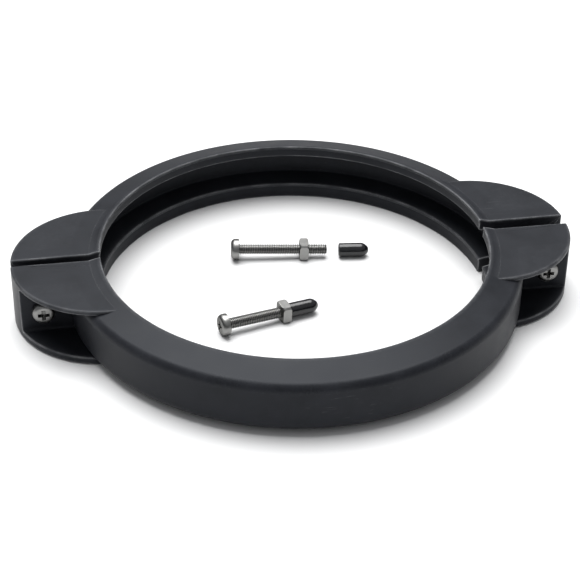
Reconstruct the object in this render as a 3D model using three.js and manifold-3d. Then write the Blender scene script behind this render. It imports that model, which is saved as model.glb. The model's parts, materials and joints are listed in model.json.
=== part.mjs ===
// Two-piece split flange clamp, moulded in black plastic, with two cross-recess screws,
// square nuts and push-on thread caps, and a second loose set of the same hardware.
// Millimetres, +Z up. The origin is the centre of the ring on the plane it rests on;
// the lugs lie along X, and the halves part along Y.

import * as THREE from 'three';
import { mergeVertices } from 'three/addons/utils/BufferGeometryUtils.js';
import Module from 'manifold-3d';

const wasm = await Module();
wasm.setup();

// ---- driving dimensions ----

// Ring section.
const RING_HEIGHT = 35;
const UPPER_LIP_RADIUS = 105;
const LOWER_LIP_RADIUS = 106.5;
const OUTER_RADIUS = 123.7;
const LIP_FLAT = 1.5;                            // level rim at the top and bottom of the section
const FACE_SLOPE = THREE.MathUtils.degToRad(15); // fall of the ring's faces towards its outer wall
const SHOULDER_ROUNDING = 5;
const UPPER_LIP_DEPTH = 6.4;
const LOWER_LIP_DEPTH = 8.9;
const GROOVE_RADIUS = 118.5;
const GROOVE_RISE = 2.8;                         // how far each groove flank closes in on the other
const RING_SEGMENTS = 80;

// Lugs.
const LUG_CENTRE_X = 103.8;
const LUG_RADIUS = 49;
const LUG_BOTTOM = 0.5;
const LUG_TOP = 33.7;
const LUG_PLATE = 2.5;
const LUG_FLOOR = 4;
const LUG_SEGMENTS = 64;


// The two halves, each drawn on the -Y side: where its lug discs are centred, where its split
// face is, and where the wall that a screw pulls on ends. The ring parts behind its diameter.
const FRONT = { lugCentre: 0, splitFace: 0.5, wallEnd: -18.5 };
const REAR = { lugCentre: -4, splitFace: -7, wallEnd: -15 };
const SKEW = THREE.MathUtils.degToRad(0.6);      // the left screw is run up further than the right

// Screws, nuts and caps.
const SCREW_X = 137.2;
const SCREW_Z = 16.75;
const SCREW_LENGTH = 50;
const SCREW_CHAMFER = 1;
const THREAD_RADIUS = 3;
const HEAD_RADIUS = 6;
const HEAD_HEIGHT = 4.6;
const RECESS_WIDTH = 6;                          // across the cross recess in the head
const RECESS_SLOT = 1.2;
const RECESS_FLOOR = 2.1;                        // from the recess's floor to the seat
const HOLE_RADIUS = 3.7;
const NUT_WIDTH = 10;
const NUT_THICKNESS = 5;
const NUT_CORNER_RADIUS = 6.4;
const NUT_SEGMENTS = 40;
const NUT_RECESS_WIDTH = 11;
const NUT_RECESS_DEPTH = 2;
const CAP_RADIUS = 4;
const CAP_LENGTH = 17;
const CAP_BORE_DEPTH = 14.5;
const CAP_SPARE_DEPTH = 4.9;                     // empty end of a fitted cap's bore
const SMALL_SEGMENTS = 20;                       // facets round a screw, hole or cap
const CLEARANCE = 0.3;
const OVERRUN = 1;                               // how far a cutter runs past what it cuts

// ---- materials ----

function blackPlastic() {
  return new THREE.MeshStandardMaterial({ color: 0x2a2b2e, roughness: 0.55, metalness: 0 });
}

function brightSteel() {
  return new THREE.MeshStandardMaterial({ color: 0xc9c8c4, roughness: 0.25, metalness: 1 });
}

function blackVinyl() {
  return new THREE.MeshStandardMaterial({ color: 0x121214, roughness: 0.25, metalness: 0 });
}

// ---- solids ----

function toSolid(geometry) {
  const bare = geometry.toNonIndexed();
  bare.deleteAttribute('normal');
  bare.deleteAttribute('uv');
  const merged = mergeVertices(bare, 1e-4);
  const corners = [];
  for (let i = 0; i < merged.index.count; i += 3) {
    const [a, b, c] = merged.index.array.slice(i, i + 3);
    if (a !== b && b !== c && c !== a) corners.push(a, b, c);
  }
  return new wasm.Manifold(new wasm.Mesh({
    numProp: 3,
    vertProperties: merged.attributes.position.array,
    triVerts: new Uint32Array(corners),
  }));
}

function toGeometry(solid) {
  const mesh = solid.getMesh();
  const geometry = new THREE.BufferGeometry();
  geometry.setAttribute('position', new THREE.BufferAttribute(mesh.vertProperties, 3));
  geometry.setIndex(new THREE.BufferAttribute(mesh.triVerts, 1));
  return geometry;
}

function box(low, high) {
  const size = high.map((value, axis) => value - low[axis]);
  const middle = high.map((value, axis) => (value + low[axis]) / 2);
  return toSolid(new THREE.BoxGeometry(...size).translate(...middle));
}

// Round bar standing on Z.
function upright(radius, bottom, top, segments = RING_SEGMENTS) {
  const bar = new THREE.CylinderGeometry(radius, radius, top - bottom, segments);
  return toSolid(bar.rotateX(Math.PI / 2).translate(0, 0, (bottom + top) / 2));
}

// Round bar lying along Y.
function lying(radius, start, end, segments = SMALL_SEGMENTS) {
  const bar = new THREE.CylinderGeometry(radius, radius, end - start, segments);
  return toSolid(bar.translate(0, (start + end) / 2, 0));
}

// ---- clamp halves ----

function ringSection() {
  const faceFall = (OUTER_RADIUS - UPPER_LIP_RADIUS - LIP_FLAT) * Math.tan(FACE_SLOPE);
  const faceRise = (OUTER_RADIUS - LOWER_LIP_RADIUS - LIP_FLAT) * Math.tan(FACE_SLOPE);
  const turn = Math.PI / 2 - FACE_SLOPE;
  const setback = SHOULDER_ROUNDING * Math.tan(turn / 2);
  const arcX = OUTER_RADIUS - SHOULDER_ROUNDING;
  const section = new THREE.Path();
  section.moveTo(LOWER_LIP_RADIUS, 0);
  section.lineTo(LOWER_LIP_RADIUS + LIP_FLAT, 0);
  section.absarc(arcX, faceRise + setback, SHOULDER_ROUNDING, -turn, 0);
  section.absarc(arcX, RING_HEIGHT - faceFall - setback, SHOULDER_ROUNDING, 0, turn);
  section.lineTo(UPPER_LIP_RADIUS + LIP_FLAT, RING_HEIGHT);
  section.lineTo(UPPER_LIP_RADIUS, RING_HEIGHT);
  section.lineTo(UPPER_LIP_RADIUS, RING_HEIGHT - UPPER_LIP_DEPTH);
  section.lineTo(GROOVE_RADIUS, RING_HEIGHT - UPPER_LIP_DEPTH - GROOVE_RISE);
  section.lineTo(GROOVE_RADIUS, LOWER_LIP_DEPTH + GROOVE_RISE);
  section.lineTo(LOWER_LIP_RADIUS, LOWER_LIP_DEPTH);
  section.lineTo(LOWER_LIP_RADIUS, 0);
  return section.getPoints(2);
}

function ring() {
  return toSolid(new THREE.LatheGeometry(ringSection(), RING_SEGMENTS).rotateX(Math.PI / 2));
}

// Round lug plates joined by the wall at the split; the space between them is open.
function lug(side, half) {
  const disc = upright(LUG_RADIUS, LUG_BOTTOM, LUG_TOP, LUG_SEGMENTS);
  const reach = LUG_CENTRE_X + LUG_RADIUS + OVERRUN;
  const pocket = box(
    [-reach, half.lugCentre - LUG_RADIUS - OVERRUN, LUG_BOTTOM + LUG_FLOOR],
    [reach, half.wallEnd, LUG_TOP - LUG_PLATE],
  );
  return disc.translate([side * LUG_CENTRE_X, half.lugCentre, 0]).subtract(pocket);
}

// What lies inside the ring, a little way into its lips and its groove's back wall.
function ringInside() {
  const intoLips = 4;
  const intoBack = 1.5;
  const offFlanks = 0.5;
  const bore = upright(UPPER_LIP_RADIUS + intoLips, -OVERRUN, RING_HEIGHT + OVERRUN);
  const low = LOWER_LIP_DEPTH + offFlanks;
  const high = RING_HEIGHT - UPPER_LIP_DEPTH - offFlanks;
  return bore.add(upright(GROOVE_RADIUS + intoBack, low, high));
}

function clampHalf(half, hasNutRecesses) {
  let solid = ring().add(lug(-1, half).add(lug(1, half)).subtract(ringInside()));
  for (const side of [-1, 1]) {
    const hole = lying(HOLE_RADIUS, half.wallEnd - OVERRUN, half.splitFace + OVERRUN);
    solid = solid.subtract(hole.translate([side * SCREW_X, 0, SCREW_Z]));
    if (hasNutRecesses) {
      const width = NUT_RECESS_WIDTH / 2;
      const floor = half.wallEnd + NUT_RECESS_DEPTH;
      const recess = box([-width, half.wallEnd - OVERRUN, -width], [width, floor, width]);
      solid = solid.subtract(recess.translate([side * SCREW_X, 0, SCREW_Z]));
    }
  }
  const reach = LUG_CENTRE_X + LUG_RADIUS + OVERRUN;
  const kept = box([-reach, -reach, -OVERRUN], [reach, half.splitFace, RING_HEIGHT + OVERRUN]);
  return solid.intersect(kept);
}

// ---- hardware, each lying along Y with its seat at y = 0 ----

// Pan-head screw with a cross recess: the head is on the -Y side, the thread runs to +Y.
function screw() {
  const profile = new THREE.Path();
  profile.moveTo(0, -HEAD_HEIGHT);
  profile.lineTo(HEAD_RADIUS * 0.45, -HEAD_HEIGHT * 0.97);
  profile.quadraticCurveTo(HEAD_RADIUS * 0.95, -HEAD_HEIGHT * 0.8, HEAD_RADIUS, -HEAD_HEIGHT * 0.25);
  profile.lineTo(HEAD_RADIUS, 0);
  profile.lineTo(THREAD_RADIUS, 0);
  profile.lineTo(THREAD_RADIUS, SCREW_LENGTH - SCREW_CHAMFER);
  profile.lineTo(THREAD_RADIUS - SCREW_CHAMFER, SCREW_LENGTH);
  profile.lineTo(0, SCREW_LENGTH);
  const blank = toSolid(new THREE.LatheGeometry(profile.getPoints(3), SMALL_SEGMENTS));
  const slot = RECESS_SLOT / 2;
  const reach = RECESS_WIDTH / 2;
  const top = -HEAD_HEIGHT - OVERRUN;
  const acrossX = box([-reach, top, -slot], [reach, -RECESS_FLOOR, slot]);
  const acrossZ = box([-slot, top, -reach], [slot, -RECESS_FLOOR, reach]);
  return blank.subtract(acrossX.add(acrossZ));
}

// Square nut with rounded-off corners, from y = 0 to its thickness.
function squareNut() {
  const half = NUT_WIDTH / 2;
  const blank = box([-half, 0, -half], [half, NUT_THICKNESS, half]);
  const end = NUT_THICKNESS + OVERRUN;
  const rounded = blank.intersect(lying(NUT_CORNER_RADIUS, -OVERRUN, end, NUT_SEGMENTS));
  return rounded.subtract(lying(THREAD_RADIUS + CLEARANCE, -OVERRUN, end));
}

// Push-on cap: its mouth is at y = 0 and its closed, rounded end at its full length.
function threadCap() {
  const bore = THREAD_RADIUS + CLEARANCE;
  const profile = new THREE.Path();
  profile.moveTo(0, CAP_BORE_DEPTH);
  profile.lineTo(bore, CAP_BORE_DEPTH);
  profile.lineTo(bore, 0);
  profile.lineTo(CAP_RADIUS, 0);
  profile.lineTo(CAP_RADIUS, CAP_LENGTH - CAP_RADIUS / 2);
  profile.quadraticCurveTo(CAP_RADIUS, CAP_LENGTH, 0, CAP_LENGTH);
  return toSolid(new THREE.LatheGeometry(profile.getPoints(3), SMALL_SEGMENTS));
}

// ---- assembly ----

const UP = new THREE.Vector3(0, 0, 1);
const FLOOR_GAP = 0.05; // under the loose hardware
const SKEW_ROOM = 0.05; // a nut stands square to its screw in a recess that is skewed

function piece(name, solid, material) {
  const mesh = new THREE.Mesh(toGeometry(solid), material);
  mesh.name = name;
  return mesh;
}

const clamp = new THREE.Group();

clamp.add(piece('front_half', clampHalf(FRONT, false), blackPlastic()));
const rearHalf = piece('rear_half', clampHalf(REAR, true), blackPlastic());
rearHalf.rotation.z = Math.PI + SKEW;
clamp.add(rearHalf);

const headSeat = FRONT.wallEnd - CLEARANCE;
const nutSeat = -REAR.wallEnd - NUT_RECESS_DEPTH + CLEARANCE;
const capMouth = headSeat + SCREW_LENGTH + CAP_SPARE_DEPTH - CAP_BORE_DEPTH;
for (const [label, side] of [['left', -1], ['right', 1]]) {
  const x = side * SCREW_X;
  const fitted = [
    [piece(`${label}_screw`, screw(), brightSteel()), headSeat],
    [piece(`${label}_nut`, squareNut(), brightSteel()), nutSeat + x * Math.tan(SKEW) + SKEW_ROOM],
    [piece(`${label}_cap`, threadCap(), blackVinyl()), capMouth],
  ];
  for (const [mesh, y] of fitted) {
    mesh.position.set(x, y, SCREW_Z);
    clamp.add(mesh);
  }
}

// A loose screw lies on the rim of its head and on a flat of its nut.
// heading is the way the thread points, anticlockwise from +X.
function looseSet(label, place, heading, nutAlong, capAlong) {
  const dip = Math.asin((HEAD_RADIUS - NUT_WIDTH / 2) / (nutAlong + NUT_THICKNESS));
  const set = new THREE.Group();
  const turn = THREE.MathUtils.degToRad(heading - 90);
  set.rotation.set(-dip, 0, turn, 'ZXY');
  set.position.set(place[0], place[1], HEAD_RADIUS + FLOOR_GAP);
  const nut = piece(`${label}_nut`, squareNut(), brightSteel());
  nut.position.y = nutAlong;
  set.add(piece(`${label}_screw`, screw(), brightSteel()), nut);
  const cap = piece(`${label}_cap`, threadCap(), blackVinyl());
  if (capAlong < SCREW_LENGTH) {
    cap.position.y = capAlong;
    set.add(cap);
  } else {
    // A cap that is off its screw lies flat, in line with it.
    cap.position.set(0, capAlong, CAP_RADIUS + FLOOR_GAP).applyAxisAngle(UP, turn);
    cap.position.x += place[0];
    cap.position.y += place[1];
    cap.rotation.z = turn;
    clamp.add(cap);
  }
  clamp.add(set);
}

// The spare's cap is off, and the second spare's is on, against its nut.
const secondNutAlong = 30.6;
looseSet('spare', [-25, 42], -6, 34.5, 57);
looseSet('second_spare', [-41, -30], 15, secondNutAlong, secondNutAlong + NUT_THICKNESS + CLEARANCE);

export default clamp;
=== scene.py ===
import json
import math

import bmesh
import bpy
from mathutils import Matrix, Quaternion, Vector


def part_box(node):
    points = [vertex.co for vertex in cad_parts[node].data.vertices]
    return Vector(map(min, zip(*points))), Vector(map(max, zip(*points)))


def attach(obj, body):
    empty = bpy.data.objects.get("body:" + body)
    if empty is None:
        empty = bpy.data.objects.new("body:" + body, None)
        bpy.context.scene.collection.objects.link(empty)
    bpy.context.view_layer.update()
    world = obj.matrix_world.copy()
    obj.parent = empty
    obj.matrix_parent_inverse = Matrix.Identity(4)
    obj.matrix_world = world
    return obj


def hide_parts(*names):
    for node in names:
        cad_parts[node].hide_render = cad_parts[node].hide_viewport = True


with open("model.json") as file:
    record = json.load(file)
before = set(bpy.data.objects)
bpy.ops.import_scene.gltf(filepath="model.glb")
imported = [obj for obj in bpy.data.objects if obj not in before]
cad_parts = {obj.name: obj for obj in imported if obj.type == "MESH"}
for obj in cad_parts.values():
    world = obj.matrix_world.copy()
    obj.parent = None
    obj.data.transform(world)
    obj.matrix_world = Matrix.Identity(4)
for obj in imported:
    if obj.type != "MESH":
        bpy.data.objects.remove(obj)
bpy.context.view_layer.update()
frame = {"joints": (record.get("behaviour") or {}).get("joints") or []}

# ---- Clamp halves ----
# Two half rings, injection-moulded in black nylon. Each carries half of a lug at both ends: two
# round plates and the thick wall between them that a screw pulls on. The rear half is turned
# a little, as its left screw is run up further.

MM = 0.001
front_low, front_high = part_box("front_half")
ring_height = front_high.z
outer_radius = -front_low.y
front_split = front_high.y               # the front half reaches this far past the diameter
rear_split = -7 * MM                     # the rear half is modelled in front, then turned
rear_lug_y = -4 * MM
skew = math.radians(0.6)
upper_lip_radius = 105 * MM
lower_lip_radius = 106.5 * MM
lip_flat = 1.5 * MM
face_slope = math.radians(15)
shoulder_rounding = 5 * MM
upper_lip_bottom = ring_height - 6.4 * MM
lower_lip_top = 8.9 * MM
groove_radius = 118.5 * MM
flank_slope = 2.8 / 13.5                 # how each groove flank closes in on the other
bead_depth = 1.5 * MM                    # rounded bead along the edge of each lip
bead_height = 0.35 * MM
steps_round_half = 72
spare_steps = 1                          # past the diameter at each end, before the split is cut
lug_radius = 49 * MM
lug_x = 103.8 * MM
lug_bottom = 0.5 * MM
lug_top = 33.7 * MM
lug_floor = 4 * MM
lug_plate = 2.5 * MM
lug_edge_rounding = 1 * MM
pocket_corner = 1.5 * MM
pocket_lip_rounding = 0.6 * MM
outline_start = 45 * MM                  # how far out from a lug's centre its rim is rounded
outline_rounding = 0.8 * MM
front_wall_end = -18.5 * MM              # far side of the wall that a screw pulls on
rear_wall_end = -15 * MM
joints = {joint["name"]: joint for joint in frame["joints"]}
screw_x, _, screw_z = joints["right_screw_turn"]["pos_m"]
hole_radius = 3.7 * MM
hole_reach = 50 * MM                     # long enough to pass both walls
recess_width = 11 * MM
recess_depth = 2 * MM
recess_corner = 0.5 * MM
HAIR = 1e-5


def lone(name, primitive, **place):
    """Adds a primitive by itself, with its place in its mesh, and opens it for editing."""
    if bpy.context.mode != "OBJECT":
        bpy.ops.object.mode_set(mode="OBJECT")
    bpy.ops.object.select_all(action="DESELECT")
    scale = place.pop("scale", (1, 1, 1))
    primitive(**place)
    body = bpy.context.object
    body.name = name
    body.scale = scale
    bpy.ops.object.transform_apply(location=True, rotation=True, scale=True)
    bpy.ops.object.mode_set(mode="EDIT")
    return body


def block(name, low, high):
    """A box between two corners, open for editing."""
    low, high = Vector(low), Vector(high)
    return lone(name, bpy.ops.mesh.primitive_cube_add, size=1, location=(low + high) / 2,
                scale=high - low)


def pick(kind, wanted):
    """In edit mode, selects only the vertices, edges or faces whose middle passes a test."""
    bpy.ops.mesh.select_mode(type=kind)
    bpy.ops.mesh.select_all(action="DESELECT")
    mesh = bpy.context.object.data
    shape = bmesh.from_edit_mesh(mesh)
    for part in {"VERT": shape.verts, "EDGE": shape.edges, "FACE": shape.faces}[kind]:
        corners = [part] if kind == "VERT" else part.verts
        middle = sum((corner.co for corner in corners), Vector()) / len(corners)
        part.select_set(wanted(middle))
    shape.select_flush_mode()
    bmesh.update_edit_mesh(mesh)


def slice_at(point, normal, drop=False, fill=False):
    """Cuts the whole body with a plane, and drops what lies past it if asked."""
    bpy.ops.mesh.select_all(action="SELECT")
    bpy.ops.mesh.bisect(plane_co=point, plane_no=normal, clear_outer=drop, use_fill=fill,
                        threshold=1e-7)


def combine(body, tool, operation):
    """Joins a body with a tool body, or cuts or trims it with one. The tool is used up."""
    if bpy.context.mode != "OBJECT":
        bpy.ops.object.mode_set(mode="OBJECT")
    modifier = body.modifiers.new("combine", "BOOLEAN")
    modifier.object = tool
    modifier.operation = operation
    modifier.solver = "EXACT"
    bpy.context.view_layer.objects.active = body
    bpy.ops.object.modifier_apply(modifier=modifier.name)
    bpy.data.objects.remove(tool)


def finish_surface(body, smooth_below):
    """Shades a finished body smooth except at its crisp edges, with flats kept flat."""
    if bpy.context.mode != "OBJECT":
        bpy.ops.object.mode_set(mode="OBJECT")
    bpy.ops.object.select_all(action="DESELECT")
    body.select_set(True)
    bpy.context.view_layer.objects.active = body
    bpy.ops.object.shade_smooth_by_angle(angle=math.radians(smooth_below))
    weighted = body.modifiers.new("weighted", "WEIGHTED_NORMAL")
    weighted.keep_sharp = True
    bpy.ops.object.modifier_apply(modifier=weighted.name)


def round_corner(at, size, steps):
    """Rounds one corner of a flat section in the XZ plane."""
    pick("VERT", lambda spot: (spot - Vector((at[0], 0, at[1]))).length < 0.2 * MM)
    bpy.ops.mesh.bevel(affect="VERTICES", offset=size, segments=steps)


def half_ring(name):
    """The ring's section as one face, its corners rounded, spun past half a turn."""
    body = lone(name, bpy.ops.mesh.primitive_plane_add, size=1,
                location=((upper_lip_radius + outer_radius) / 2, 0, ring_height / 2),
                rotation=(math.pi / 2, 0, 0),
                scale=(outer_radius - upper_lip_radius, ring_height, 1))
    fall = Vector((math.sin(face_slope), 0, math.cos(face_slope)))
    slice_at((upper_lip_radius + lip_flat, 0, ring_height), fall, drop=True)
    slice_at((lower_lip_radius + lip_flat, 0, 0), (fall.x, 0, -fall.z), drop=True)
    slice_at((groove_radius, 0, 0), (1, 0, 0))
    slice_at((upper_lip_radius, 0, upper_lip_bottom), (flank_slope, 0, 1))
    slice_at((lower_lip_radius, 0, lower_lip_top), (flank_slope, 0, -1))
    slice_at((lower_lip_radius, 0, 0), (1, 0, 0))
    middle = (upper_lip_bottom + lower_lip_top) / 2
    pick("FACE", lambda at: (at.x < groove_radius and abs(at.z - middle) < 6 * MM)
         or (at.x < lower_lip_radius and at.z < upper_lip_bottom - 3 * MM))
    bpy.ops.mesh.delete(type="FACE")
    # Below its bead, each lip's face is set back.
    for radius, top, bottom in ((upper_lip_radius, ring_height, upper_lip_bottom),
                                (lower_lip_radius, lower_lip_top, 0)):
        slice_at((0, 0, top - bead_depth), (0, 0, 1))
        slice_at((0, 0, top - bead_depth - bead_height), (0, 0, 1))
        pick("VERT", lambda at: abs(at.x - radius) < HAIR
             and bottom - HAIR < at.z < top - bead_depth - HAIR)
        bpy.ops.transform.translate(value=(bead_height, 0, 0))
    bpy.ops.mesh.select_all(action="SELECT")
    bpy.ops.mesh.dissolve_limited(angle_limit=math.radians(1))
    set_back = upper_lip_radius + bead_height
    lower_set_back = lower_lip_radius + bead_height
    shoulder = shoulder_rounding * math.tan((math.pi / 2 - face_slope) / 2)
    width = outer_radius - upper_lip_radius - lip_flat
    lower_width = outer_radius - lower_lip_radius - lip_flat
    flank_end = flank_slope * (groove_radius - upper_lip_radius)
    lower_flank_end = flank_slope * (groove_radius - lower_lip_radius)
    for at, size, steps in (
            ((outer_radius, ring_height - width * math.tan(face_slope)), shoulder, 8),
            ((outer_radius, lower_width * math.tan(face_slope)), shoulder, 8),
            ((upper_lip_radius + lip_flat, ring_height), 0.8 * MM, 2),
            ((lower_lip_radius + lip_flat, 0), 0.6 * MM, 2),
            ((upper_lip_radius, ring_height), 0.6 * MM, 3),
            ((upper_lip_radius, ring_height - bead_depth), 0.3 * MM, 2),
            ((set_back, upper_lip_bottom), 0.4 * MM, 3),
            ((groove_radius, upper_lip_bottom - flank_end), 1 * MM, 4),
            ((groove_radius, lower_lip_top + lower_flank_end), 1 * MM, 4),
            ((lower_lip_radius, lower_lip_top), 0.6 * MM, 3),
            ((lower_lip_radius, lower_lip_top - bead_depth), 0.3 * MM, 2),
            ((lower_set_back, 0), 0.4 * MM, 3)):
        round_corner(at, size, steps)
    step = math.pi / steps_round_half
    bpy.ops.object.mode_set(mode="OBJECT")
    body.rotation_euler.z = spare_steps * step
    bpy.ops.object.transform_apply(location=True, rotation=True, scale=True)
    bpy.ops.object.mode_set(mode="EDIT")
    bpy.ops.mesh.select_all(action="SELECT")
    steps = steps_round_half + 2 * spare_steps
    bpy.ops.mesh.spin(steps=steps, angle=steps * step, center=(0, 0, 0), axis=(0, 0, 1))
    bpy.ops.mesh.select_all(action="SELECT")
    bpy.ops.mesh.normals_make_consistent(inside=False)
    return body


def lug(side, lug_y, wall_end):
    """Two round plates joined by the wall at the split, with the ring's room cut out."""
    centre = side * lug_x
    body = lone("lug", bpy.ops.mesh.primitive_cylinder_add, vertices=128, radius=lug_radius,
                depth=lug_top - lug_bottom, location=(centre, lug_y, (lug_bottom + lug_top) / 2))
    pick("EDGE", lambda at: at.z > lug_top - HAIR or at.z < lug_bottom + HAIR)
    bpy.ops.mesh.bevel(offset=lug_edge_rounding, segments=4)
    floor, ceiling = lug_bottom + lug_floor, lug_top - lug_plate
    reach = lug_x + lug_radius
    pocket = block("pocket", (-reach, -reach, floor), (reach, wall_end, ceiling))
    pick("EDGE", lambda at: at.y > wall_end - HAIR and abs(at.x) < HAIR)
    bpy.ops.mesh.bevel(offset=pocket_corner, segments=4)
    combine(body, pocket, "DIFFERENCE")
    bpy.ops.object.mode_set(mode="EDIT")

    def on_rim(at):
        return abs(math.hypot(at.x - centre, at.y - lug_y) - lug_radius) < 0.1 * MM

    pick("EDGE", lambda at: on_rim(at) and at.y < wall_end - pocket_corner - 0.1 * MM
         and (abs(at.z - floor) < HAIR or abs(at.z - ceiling) < HAIR))
    bpy.ops.mesh.bevel(offset=pocket_lip_rounding, segments=3)
    bore = lone("bore", bpy.ops.mesh.primitive_cylinder_add, vertices=2 * steps_round_half,
                radius=upper_lip_radius + 4 * MM, depth=2 * ring_height)
    combine(body, bore, "DIFFERENCE")
    low, high = lower_lip_top + 0.5 * MM, upper_lip_bottom - 0.5 * MM
    groove = lone("groove", bpy.ops.mesh.primitive_cylinder_add, vertices=2 * steps_round_half,
                  radius=groove_radius + 1.5 * MM, depth=high - low,
                  location=(0, 0, (low + high) / 2))
    combine(body, groove, "DIFFERENCE")
    return body


def clamp_half(name, lug_y, split_y, wall_end):
    """A half ring with its lugs joined on, parted at its split and drilled for its screws."""
    body = half_ring(name)
    for side in (-1, 1):
        combine(body, lug(side, lug_y, wall_end), "UNION")
    bpy.ops.object.mode_set(mode="EDIT")
    slice_at((0, split_y, 0), (0, 1, 0), drop=True, fill=True)
    for side in (1, -1):
        hole = lone("hole", bpy.ops.mesh.primitive_cylinder_add, vertices=48,
                    radius=hole_radius, depth=hole_reach, location=(side * screw_x, 0, screw_z),
                    rotation=(math.pi / 2, 0, 0))
        combine(body, hole, "DIFFERENCE")
    bpy.ops.object.mode_set(mode="EDIT")

    def on_split_outline(at):
        outside = (at.z > lug_top - HAIR or at.z < lug_bottom + HAIR
                   or abs(at.x) > lug_x + outline_start)
        return at.y > split_y - HAIR and outside and abs(at.x) > upper_lip_radius + 0.7 * MM

    pick("EDGE", on_split_outline)
    bpy.ops.mesh.bevel(offset=outline_rounding, segments=3)
    return body


front = clamp_half("front_half_moulding", 0, front_split, front_wall_end)
rear = clamp_half("rear_half_moulding", rear_lug_y, rear_split, rear_wall_end)


def set_down(body, place, turn):
    """Puts a body that was modelled at the origin in its place, in its mesh."""
    body.location = place
    body.rotation_euler = turn
    bpy.ops.object.transform_apply(location=True, rotation=True, scale=True)


for side in (-1, 1):
    recess = block("recess", (side * screw_x - recess_width / 2, rear_wall_end - MM,
                              screw_z - recess_width / 2),
                   (side * screw_x + recess_width / 2, rear_wall_end + recess_depth,
                    screw_z + recess_width / 2))
    pick("EDGE", lambda at: abs(abs(at.x) - screw_x) > recess_width / 2 - HAIR
         and abs(at.y - rear_wall_end) < MM and abs(at.z - screw_z) > recess_width / 2 - HAIR)
    bpy.ops.mesh.bevel(offset=recess_corner, segments=3)
    combine(rear, recess, "DIFFERENCE")
bpy.ops.object.select_all(action="DESELECT")
rear.select_set(True)
bpy.context.view_layer.objects.active = rear
set_down(rear, (0, 0, 0), (0, 0, math.pi + skew))


def socket_group(name, inputs, outputs):
    """A shader node group with named inputs and outputs, and its two end nodes."""
    group = bpy.data.node_groups.new(name, "ShaderNodeTree")
    for label, value in inputs.items():
        kind = "NodeSocketVector" if value is None else "NodeSocketFloat"
        made = group.interface.new_socket(label, in_out="INPUT", socket_type=kind)
        if value is not None:
            made.default_value = value
    for label in outputs:
        group.interface.new_socket(label, in_out="OUTPUT", socket_type="NodeSocketFloat")
    return group, group.nodes.new("NodeGroupInput"), group.nodes.new("NodeGroupOutput")


def node(tree, kind, sockets, **settings):
    """Adds a shader node, and fills or joins its sockets by name or number."""
    made = tree.nodes.new("ShaderNode" + kind)
    for name, value in settings.items():
        setattr(made, name, value)
    for key, value in sockets.items():
        if isinstance(value, bpy.types.NodeSocket):
            tree.links.new(value, made.inputs[key])
        else:
            made.inputs[key].default_value = value
    return made


def new_material(name):
    """An empty node material: its tree, and its shader joined to its output."""
    material = bpy.data.materials.new(name)
    material.use_nodes = True
    tree = material.node_tree
    tree.nodes.clear()
    output = tree.nodes.new("ShaderNodeOutputMaterial")
    shader = tree.nodes.new("ShaderNodeBsdfPrincipled")
    tree.links.new(shader.outputs["BSDF"], output.inputs["Surface"])
    return material, tree, shader


# Worn edges with painted edge highlights: where rays sent back into the body come out again nearby,
# broken up by noise.
edge_wear_and_highlight, given, result = socket_group(
    "Edge wear and painted highlight", {"Place": None, "Width": 0.001, "Breaks": 220.0}, ["Mask"])
inward = node(edge_wear_and_highlight, "AmbientOcclusion", {"Distance": given.outputs["Width"]},
              inside=True, only_local=True, samples=8)
near_edge = node(edge_wear_and_highlight, "MapRange", {"Value": inward.outputs["AO"], "From Min": 0.97,
                                         "From Max": 0.68, "To Min": 0.0, "To Max": 1.0})
breaks = node(edge_wear_and_highlight, "TexNoise", {"Vector": given.outputs["Place"],
                                      "Scale": given.outputs["Breaks"], "Detail": 3.0})
kept = node(edge_wear_and_highlight, "MapRange", {"Value": breaks.outputs["Fac"], "From Min": 0.35,
                                    "From Max": 0.65, "To Min": 0.25, "To Max": 1.0})
worn_and_lit_edge = node(edge_wear_and_highlight, "Math", {0: near_edge.outputs["Result"], 1: kept.outputs["Result"]},
            operation="MULTIPLY", use_clamp=True)
edge_wear_and_highlight.links.new(worn_and_lit_edge.outputs["Value"], result.inputs["Mask"])

# Fine grain: the tooled surface of a mould, or the skin of dipped vinyl.
grain, given, result = socket_group(
    "Fine grain", {"Place": None, "Fine": 1800.0, "Coarse": 300.0, "Share": 0.3}, ["Height"])
fine = node(grain, "TexNoise", {"Vector": given.outputs["Place"], "Scale": given.outputs["Fine"],
                                "Detail": 2.0, "Roughness": 0.6})
coarse = node(grain, "TexNoise", {"Vector": given.outputs["Place"],
                                  "Scale": given.outputs["Coarse"], "Detail": 3.0})
mixed = node(grain, "Mix", {"Factor": given.outputs["Share"], "A": fine.outputs["Fac"],
                            "B": coarse.outputs["Fac"]})
grain.links.new(mixed.outputs["Result"], result.inputs["Height"])

# Scuffs: short fine scratches, gathered in patches.
scuffs, given, result = socket_group(
    "Scuffs", {"Place": None, "Fineness": 900.0, "Amount": 0.5}, ["Mask"])
stretched = node(scuffs, "Mapping", {"Vector": given.outputs["Place"],
                                     "Rotation": (0.3, 0.2, 0.7), "Scale": (0.06, 1.0, 0.5)})
streaks = node(scuffs, "TexNoise", {"Vector": stretched.outputs["Vector"],
                                    "Scale": given.outputs["Fineness"], "Detail": 2.0,
                                    "Distortion": 0.4})
thin = node(scuffs, "MapRange", {"Value": streaks.outputs["Fac"], "From Min": 0.66,
                                 "From Max": 0.74, "To Min": 0.0, "To Max": 1.0})
patches = node(scuffs, "TexNoise", {"Vector": given.outputs["Place"], "Scale": 28.0, "Detail": 2.0})
where = node(scuffs, "MapRange", {"Value": patches.outputs["Fac"], "From Min": 0.5,
                                  "From Max": 0.72, "To Min": 0.0, "To Max": 1.0})
both = node(scuffs, "Math", {0: thin.outputs["Result"], 1: where.outputs["Result"]},
            operation="MULTIPLY")
scaled = node(scuffs, "Math", {0: both.outputs["Value"], 1: given.outputs["Amount"]},
              operation="MULTIPLY", use_clamp=True)
scuffs.links.new(scaled.outputs["Value"], result.inputs["Mask"])


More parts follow.
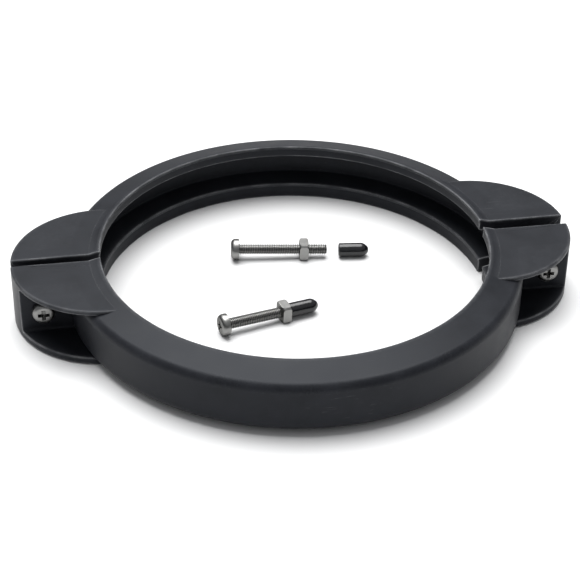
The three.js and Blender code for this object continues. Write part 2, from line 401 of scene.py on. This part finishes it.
def use_group(tree, group, sockets):
    """Places a shared effect in a material, with its own values."""
    placed = tree.nodes.new("ShaderNodeGroup")
    placed.node_tree = group
    for key, value in sockets.items():
        if isinstance(value, bpy.types.NodeSocket):
            tree.links.new(value, placed.inputs[key])
        else:
            placed.inputs[key].default_value = value
    return placed.outputs[0]


def mix_colour(tree, factor, first, second):
    """The colour between two, or between a socket's and another."""
    made = node(tree, "Mix", {"Factor": factor, 6: first, 7: second}, data_type="RGBA")
    return made.outputs[2]


# Satin black nylon: finely mottled, a little bluer and lighter where it is rubbed, with painted
# sheen on its rubbed edges and painted highlights as light lines along its sharpest edges.
nylon, tree, shader = new_material("satin black nylon")
place = node(tree, "TexCoord", {}).outputs["Object"]
mottle = node(tree, "TexNoise", {"Vector": place, "Scale": 55.0, "Detail": 5.0, "Roughness": 0.6})
mottled = node(tree, "MapRange", {"Value": mottle.outputs["Fac"], "From Min": 0.3,
                                  "From Max": 0.7, "To Min": 0.0, "To Max": 1.0})
rub_and_sheen = use_group(tree, edge_wear_and_highlight, {"Place": place, "Width": 0.0026, "Breaks": 400.0})
highlight_and_wear_edge = use_group(tree, edge_wear_and_highlight, {"Place": place, "Width": 0.0009, "Breaks": 90.0})
scuff = use_group(tree, scuffs, {"Place": place, "Fineness": 1400.0, "Amount": 0.25})
height = use_group(tree, grain, {"Place": place, "Fine": 1700.0, "Coarse": 350.0, "Share": 0.35})
base = mix_colour(tree, mottled.outputs["Result"], (0.0088, 0.0094, 0.0119, 1),
                  (0.0150, 0.0160, 0.0197, 1))
base = mix_colour(tree, scuff, base, (0.10, 0.10, 0.105, 1))
# Broad rubbed edges, a little lighter and bluer: wear, and a painted sheen.
rubbed_and_sheen_share = node(tree, "Math", {0: rub_and_sheen, 1: 0.35}, operation="MULTIPLY")
base = mix_colour(tree, rubbed_and_sheen_share.outputs["Value"], base, (0.06, 0.062, 0.068, 1))
# Narrow light grey lines on the sharpest edges: painted highlights, with some wear.
highlight_and_wear_share = node(tree, "Math", {0: highlight_and_wear_edge, 1: 0.8}, operation="MULTIPLY")
base = mix_colour(tree, highlight_and_wear_share.outputs["Value"], base, (0.42, 0.425, 0.435, 1))
gloss = node(tree, "MapRange", {"Value": mottle.outputs["Fac"], "From Min": 0.3, "From Max": 0.7,
                                "To Min": 0.38, "To Max": 0.48})
bump = node(tree, "Bump", {"Height": height, "Strength": 0.35, "Distance": 0.00006})
tree.links.new(base, shader.inputs["Base Color"])
tree.links.new(gloss.outputs["Result"], shader.inputs["Roughness"])
tree.links.new(bump.outputs["Normal"], shader.inputs["Normal"])
shader.inputs["Specular IOR Level"].default_value = 0.16
shader.inputs["Specular Tint"].default_value = (0.9, 0.945, 1, 1)

for body, name in ((front, "front_half"), (rear, "rear_half")):
    finish_surface(body, 32)
    body.data.materials.clear()
    body.data.materials.append(nylon)
    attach(body, name)
    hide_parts(name)

# ---- Pan-head screws ----
# Four M6 screws of bright stainless steel, cold-headed with a cross recess and threaded by
# rolling. Two run through the lugs, and two lie loose inside the ring.

thread_radius = 3 * MM
thread_root = 2.39 * MM
thread_pitch = 1 * MM
screw_length = 50 * MM
head_radius = 6 * MM
head_height = 4.6 * MM
head_shoulder = 2.9 * MM
seat_rounding = 0.35 * MM
tip_chamfer = 0.9 * MM
wing_reach = 3.7 * MM                    # half the length and half the width of a recess wing
wing_half_width = 1.2 * MM
wing_depth = 3 * MM
LYING = (-math.pi / 2, 0, 0)             # turns a primitive's axis from Z to Y


def rolled_thread():
    """A rod along Y from inside the head to its chamfered tip, with a helical tooth."""
    tooth = lone("pan_head_screw", bpy.ops.mesh.primitive_plane_add, size=MM)
    pick("VERT", lambda at: True)
    bpy.ops.mesh.merge(type="CENTER")
    bpy.ops.transform.translate(value=(thread_root, -2 * thread_pitch, 0))
    rise = thread_radius - thread_root
    for step in ((0, 0.25 * thread_pitch), (rise, 0.3125 * thread_pitch),
                 (0, 0.125 * thread_pitch), (-rise, 0.3125 * thread_pitch)):
        bpy.ops.mesh.extrude_vertices_move(TRANSFORM_OT_translate={"value": (step[0], step[1], 0)})
    bpy.ops.object.mode_set(mode="OBJECT")
    winding = tooth.modifiers.new("winding", "SCREW")
    winding.axis = "Y"
    winding.screw_offset = thread_pitch
    winding.iterations = round(screw_length / thread_pitch) + 3
    winding.steps = 28
    winding.render_steps = 28
    winding.use_merge_vertices = True
    winding.merge_threshold = 1e-6
    bpy.ops.object.modifier_apply(modifier=winding.name)
    bpy.ops.object.mode_set(mode="EDIT")
    bpy.ops.mesh.select_all(action="SELECT")
    bpy.ops.mesh.remove_doubles(threshold=1e-6)
    slice_at((0, screw_length, 0), (0, 1, 0), drop=True, fill=True)
    slice_at((0, -0.5 * MM, 0), (0, -1, 0), drop=True, fill=True)
    bpy.ops.mesh.select_all(action="SELECT")
    bpy.ops.mesh.normals_make_consistent(inside=False)
    tip = lone("tip", bpy.ops.mesh.primitive_cylinder_add, vertices=56,
               radius=thread_radius + 0.2 * MM, depth=screw_length + 2 * MM,
               location=(0, screw_length / 2 - MM, 0), rotation=LYING)
    pick("EDGE", lambda at: at.y > screw_length - HAIR)
    bpy.ops.mesh.bevel(offset=tip_chamfer, segments=1)
    combine(tooth, tip, "INTERSECT")
    return tooth


def pan_head():
    """A pressed head: crowned top, rounded shoulder and flat seat, its crown inset twice at the
    middle.
    """
    head = lone("head", bpy.ops.mesh.primitive_cylinder_add, vertices=64, radius=head_radius,
                depth=head_height, location=(0, -head_height / 2, 0), rotation=LYING)
    pick("EDGE", lambda at: at.y < -head_height + HAIR)
    bpy.ops.mesh.bevel(offset=head_shoulder, segments=10, profile=0.56)
    pick("EDGE", lambda at: at.y > -HAIR)
    bpy.ops.mesh.bevel(offset=seat_rounding, segments=3)
    for inset in (1.2 * MM, 1 * MM):
        pick("FACE", lambda at: at.y < -head_height + 0.02 * MM and math.hypot(at.x, at.z) < HAIR)
        bpy.ops.mesh.inset(thickness=inset)
    return head


def cross_recess():
    """The punch that makes the recess: two wings that narrow and shallow towards the bottom."""
    punch = None
    for turn in (0, math.pi / 2):
        wing = block("wing", (-wing_reach, -head_height - MM, -wing_half_width),
                     (wing_reach, -head_height + wing_depth, wing_half_width))
        pick("FACE", lambda at: at.y > -head_height + wing_depth - HAIR)
        bpy.ops.transform.resize(value=(0.34, 1, 0.5))
        bpy.ops.mesh.select_all(action="SELECT")
        bpy.ops.mesh.bevel(offset=0.12 * MM, segments=2)
        bpy.ops.object.mode_set(mode="OBJECT")
        wing.rotation_euler = (0, turn, 0)
        bpy.ops.object.transform_apply(location=True, rotation=True, scale=True)
        if punch:
            combine(punch, wing, "UNION")
        else:
            punch = wing
    return punch


screw = rolled_thread()
combine(screw, pan_head(), "UNION")
combine(screw, cross_recess(), "DIFFERENCE")
bpy.ops.object.mode_set(mode="EDIT")
bpy.ops.mesh.select_all(action="SELECT")
bpy.ops.mesh.remove_doubles(threshold=2e-6)
finish_surface(screw, 28)

# Stainless steel, bright but not polished, with fine streaks, lighter worn edges that also carry a
# painted highlight, and painted shade darkening the thread roots and other hollows.
steel, tree, shader = new_material("bright stainless steel")
place = node(tree, "TexCoord", {}).outputs["Object"]
cloud = node(tree, "TexNoise", {"Vector": place, "Scale": 400.0, "Detail": 4.0})
scuff = use_group(tree, scuffs, {"Place": place, "Fineness": 3500.0, "Amount": 0.8})
rub_and_sheen = use_group(tree, edge_wear_and_highlight, {"Place": place, "Width": 0.0003, "Breaks": 900.0})
height = use_group(tree, grain, {"Place": place, "Fine": 5000.0, "Coarse": 900.0, "Share": 0.5})
base = mix_colour(tree, cloud.outputs["Fac"], (0.205, 0.204, 0.199, 1), (0.285, 0.284, 0.276, 1))
# Lighter edges: wear, and a painted highlight.
base = mix_colour(tree, rub_and_sheen, base, (0.44, 0.438, 0.424, 1))
# Darker in the thread roots, the cross recess and other hollows: painted shade.
open_sky = node(tree, "AmbientOcclusion", {"Distance": 0.0011}, only_local=True, samples=8)
painted_hollow_shade = node(tree, "MapRange", {"Value": open_sky.outputs["AO"], "From Min": 0.82,
                                 "From Max": 0.38, "To Min": 0.0, "To Max": 0.75})
base = mix_colour(tree, painted_hollow_shade.outputs["Result"], base, (0.018, 0.017, 0.016, 1))
shine = node(tree, "MapRange", {"Value": cloud.outputs["Fac"], "From Min": 0.3, "From Max": 0.7,
                                "To Min": 0.33, "To Max": 0.43})
dull = node(tree, "Math", {0: scuff, 1: 0.12, 2: shine.outputs["Result"]}, operation="MULTIPLY_ADD")
bump = node(tree, "Bump", {"Height": height, "Strength": 0.12, "Distance": 0.00003})
tree.links.new(base, shader.inputs["Base Color"])
tree.links.new(dull.outputs["Value"], shader.inputs["Roughness"])
tree.links.new(bump.outputs["Normal"], shader.inputs["Normal"])
shader.inputs["Metallic"].default_value = 1
shader.inputs["Specular Tint"].default_value = (0.3, 0.3, 0.3, 1)

# Where each set of screw, nut and cap sits: its seat under the head, the way its thread
# points, and how far along it the nut and the cap's mouth are.
nut_thickness = 5 * MM
cap_length = 17 * MM
sets = {}
for label in ("left", "right"):
    screw_low, screw_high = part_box(f"{label}_screw")
    middle = (screw_low + screw_high) / 2
    seat = Vector((middle.x, screw_high.y - screw_length, middle.z))
    nut_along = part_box(f"{label}_nut")[0].y - seat.y
    cap_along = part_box(f"{label}_cap")[0].y - seat.y
    sets[label] = (seat, Vector((0, 1, 0)), nut_along, cap_along)
for label, nut_along, cap_along in (("spare", 34.5, 57), ("second_spare", 30.6, 35.9)):
    along = Vector(joints[f"{label}_nut_travel"]["axis"])
    nut_low, nut_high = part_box(f"{label}_nut")
    seat = (nut_low + nut_high) / 2 - along * (nut_along * MM + nut_thickness / 2)
    sets[label] = (seat, along, nut_along * MM, cap_along * MM)


def copy_of(body, name):
    """A copy with its own mesh."""
    if bpy.context.mode != "OBJECT":
        bpy.ops.object.mode_set(mode="OBJECT")
    bpy.ops.object.select_all(action="DESELECT")
    body.select_set(True)
    bpy.context.view_layer.objects.active = body
    bpy.ops.object.duplicate(linked=False)
    bpy.context.object.name = name
    return bpy.context.object


def lay_along(body, seat, along):
    """Puts a body modelled along +Y at its place, with its sides kept upright."""
    set_down(body, seat, (math.asin(along.z), 0, math.atan2(-along.x, along.y)))


for label, (seat, along, _, _) in sets.items():
    fitted = copy_of(screw, f"{label}_pan_head_screw")
    lay_along(fitted, seat, along)
    fitted.data.materials.append(steel)
    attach(fitted, f"{label}_screw")
    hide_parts(f"{label}_screw")
bpy.data.objects.remove(screw)

# ---- Square nuts ----
# Four M6 square nuts, pressed from stainless steel bar with their corners turned off on both
# faces. On the clamp, recesses in the rear half keep them from turning.

nut_width = 10 * MM
nut_corner_radius = 6.4 * MM
nut_edge_rounding = 0.25 * MM
nut_corner_chamfer = 1.1 * MM
nut_mouth_chamfer = 0.5 * MM
nut = block("square_nut", (-nut_width / 2, 0, -nut_width / 2),
            (nut_width / 2, nut_thickness, nut_width / 2))
pick("EDGE", lambda at: True)
bpy.ops.mesh.bevel(offset=nut_edge_rounding, segments=2)
turning = lone("turning", bpy.ops.mesh.primitive_cylinder_add, vertices=96,
               radius=nut_corner_radius, depth=nut_thickness,
               location=(0, nut_thickness / 2, 0), rotation=LYING)
pick("EDGE", lambda at: at.y < HAIR or at.y > nut_thickness - HAIR)
bpy.ops.mesh.bevel(offset=nut_corner_chamfer, segments=3)
combine(nut, turning, "INTERSECT")
bore = lone("bore", bpy.ops.mesh.primitive_cylinder_add, vertices=56,
            radius=thread_radius + 0.08 * MM, depth=2 * nut_thickness,
            location=(0, nut_thickness / 2, 0), rotation=LYING)
combine(nut, bore, "DIFFERENCE")
bpy.ops.object.mode_set(mode="EDIT")
pick("EDGE", lambda at: math.hypot(at.x, at.z) < thread_radius + 0.2 * MM
     and (at.y < HAIR or at.y > nut_thickness - HAIR))
bpy.ops.mesh.bevel(offset=nut_mouth_chamfer, segments=1)
finish_surface(nut, 30)
for label, (seat, along, nut_along, _) in sets.items():
    fitted = copy_of(nut, f"{label}_square_nut")
    lay_along(fitted, seat + along * nut_along, along)
    fitted.data.materials.append(steel)
    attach(fitted, "rear_half" if label in ("left", "right") else f"{label}_nut")
    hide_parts(f"{label}_nut")
bpy.data.objects.remove(nut)

# ---- Thread caps ----
# Four push-on caps dipped in glossy black vinyl, with a rounded mouth and a short, blunt cone.
# Each covers the bare end of a screw. One lies off its screw.

cap_radius = 4 * MM
cap_bore = 3.1 * MM
cap_bore_depth = 14.5 * MM
cap_straight = 14 * MM                   # the rest is the cone
cone_end = 0.38                          # share of the radius that is left at its end
cone_end_rounding = 1.1 * MM
cone_start_rounding = 1.5 * MM
mouth_rounding = 0.6 * MM
bore_rounding = 0.25 * MM
cap = lone("thread_cap", bpy.ops.mesh.primitive_cylinder_add, vertices=64, radius=cap_radius,
           depth=cap_straight, location=(0, cap_straight / 2, 0), rotation=LYING)
pick("FACE", lambda at: at.y > cap_straight - HAIR)
bpy.ops.mesh.extrude_region_move(
    TRANSFORM_OT_translate={"value": (0, cap_length - cap_straight, 0)})
bpy.ops.transform.resize(value=(cone_end, 1, cone_end), center_override=(0, cap_length, 0))
pick("EDGE", lambda at: abs(at.y - cap_length) < HAIR)
bpy.ops.mesh.bevel(offset=cone_end_rounding, segments=6)
pick("EDGE", lambda at: abs(at.y - cap_straight) < HAIR)
bpy.ops.mesh.bevel(offset=cone_start_rounding, segments=6)
pick("FACE", lambda at: at.y < HAIR)
bpy.ops.mesh.inset(thickness=cap_radius - cap_bore)
pick("FACE", lambda at: at.y < HAIR and math.hypot(at.x, at.z) < HAIR)
bpy.ops.mesh.extrude_region_move(TRANSFORM_OT_translate={"value": (0, cap_bore_depth, 0)})
for rim, rounding in ((cap_radius, mouth_rounding), (cap_bore, bore_rounding)):
    pick("EDGE", lambda at: at.y < HAIR and abs(math.hypot(at.x, at.z) - rim) < 0.1 * MM)
    bpy.ops.mesh.bevel(offset=rounding, segments=4)
finish_surface(cap, 50)

# Glossy dipped vinyl, with soft ripples and a few dull specks.
vinyl, tree, shader = new_material("glossy black vinyl")
place = node(tree, "TexCoord", {}).outputs["Object"]
height = use_group(tree, grain, {"Place": place, "Fine": 260.0, "Coarse": 90.0, "Share": 0.5})
scuff = use_group(tree, scuffs, {"Place": place, "Fineness": 2500.0, "Amount": 0.6})
cloud = node(tree, "TexNoise", {"Vector": place, "Scale": 300.0, "Detail": 3.0})
base = mix_colour(tree, cloud.outputs["Fac"], (0.004, 0.004, 0.005, 1), (0.010, 0.010, 0.012, 1))
base = mix_colour(tree, scuff, base, (0.05, 0.05, 0.055, 1))
shine = node(tree, "MapRange", {"Value": cloud.outputs["Fac"], "From Min": 0.3, "From Max": 0.7,
                                "To Min": 0.12, "To Max": 0.24})
bump = node(tree, "Bump", {"Height": height, "Strength": 0.5, "Distance": 0.0006})
tree.links.new(base, shader.inputs["Base Color"])
tree.links.new(shine.outputs["Result"], shader.inputs["Roughness"])
tree.links.new(bump.outputs["Normal"], shader.inputs["Normal"])
for label, (seat, along, _, cap_along) in sets.items():
    fitted = copy_of(cap, f"{label}_vinyl_cap")
    if label == "spare":
        cap_low, cap_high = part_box("spare_cap")
        level = Vector((along.x, along.y, 0)).normalized()
        mouth = seat + level * cap_along
        lay_along(fitted, (mouth.x, mouth.y, (cap_low.z + cap_high.z) / 2), level)
    else:
        lay_along(fitted, seat + along * cap_along, along)
    fitted.data.materials.append(vinyl)
    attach(fitted, f"{label}_cap")
    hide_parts(f"{label}_cap")
bpy.data.objects.remove(cap)

# ---- Studio ----
# A pale floor under a wide soft light from behind, a grey room and a long lens.

floor = lone("floor", bpy.ops.mesh.primitive_plane_add, size=40)
bpy.ops.object.mode_set(mode="OBJECT")
paper, tree, shader = new_material("pale paper")
place = node(tree, "TexCoord", {}).outputs["Object"]
cloud = node(tree, "TexNoise", {"Vector": place, "Scale": 6.0, "Detail": 2.0})
base = mix_colour(tree, cloud.outputs["Fac"], (0.78, 0.78, 0.78, 1), (0.80, 0.80, 0.80, 1))
tree.links.new(base, shader.inputs["Base Color"])
shader.inputs["Roughness"].default_value = 0.9
shader.inputs["Specular IOR Level"].default_value = 0.1
floor.data.materials.append(paper)

room = bpy.data.worlds.new("grey room")
bpy.context.scene.world = room
room.use_nodes = True
tree = room.node_tree
direction = node(tree, "TexCoord", {}).outputs["Generated"]
height = node(tree, "SeparateXYZ", {"Vector": direction}).outputs["Z"]
above = node(tree, "MapRange", {"Value": height, "From Min": 0.05, "From Max": 0.75,
                                "To Min": 0.0, "To Max": 1.0}, interpolation_type="SMOOTHSTEP")
light = mix_colour(tree, above.outputs["Result"], (0.19, 0.195, 0.205, 1), (0.46, 0.465, 0.475, 1))
tree.links.new(light, tree.nodes["Background"].inputs["Color"])

bpy.ops.object.light_add(type="SUN", location=(0, 1, 1),
                         rotation=(math.radians(-20), 0, math.radians(6)))
soft = bpy.context.object.data
soft.angle = math.radians(55)
soft.energy = 4.7

camera_turn = math.radians(-9.84)
camera_rise = math.radians(34.42)
camera_distance = 924.3 * MM
out = Vector((math.sin(camera_turn) * math.cos(camera_rise),
              -math.cos(camera_turn) * math.cos(camera_rise), math.sin(camera_rise)))
right = Vector((math.cos(camera_turn), math.sin(camera_turn), 0))
up = out.cross(right)
target = right * -2.36 * MM + up * 3.11 * MM
bpy.ops.object.camera_add(location=out * camera_distance)
camera = bpy.context.object
camera.rotation_mode = "QUATERNION"
aim = (target - camera.location).to_track_quat("-Z", "Y")
camera.rotation_quaternion = aim @ Quaternion((0, 0, 1), 0.01327)
camera.data.lens = 103.7
camera.data.sensor_width = 36
bpy.context.scene.camera = camera
bpy.context.scene.view_settings.view_transform = "Standard"
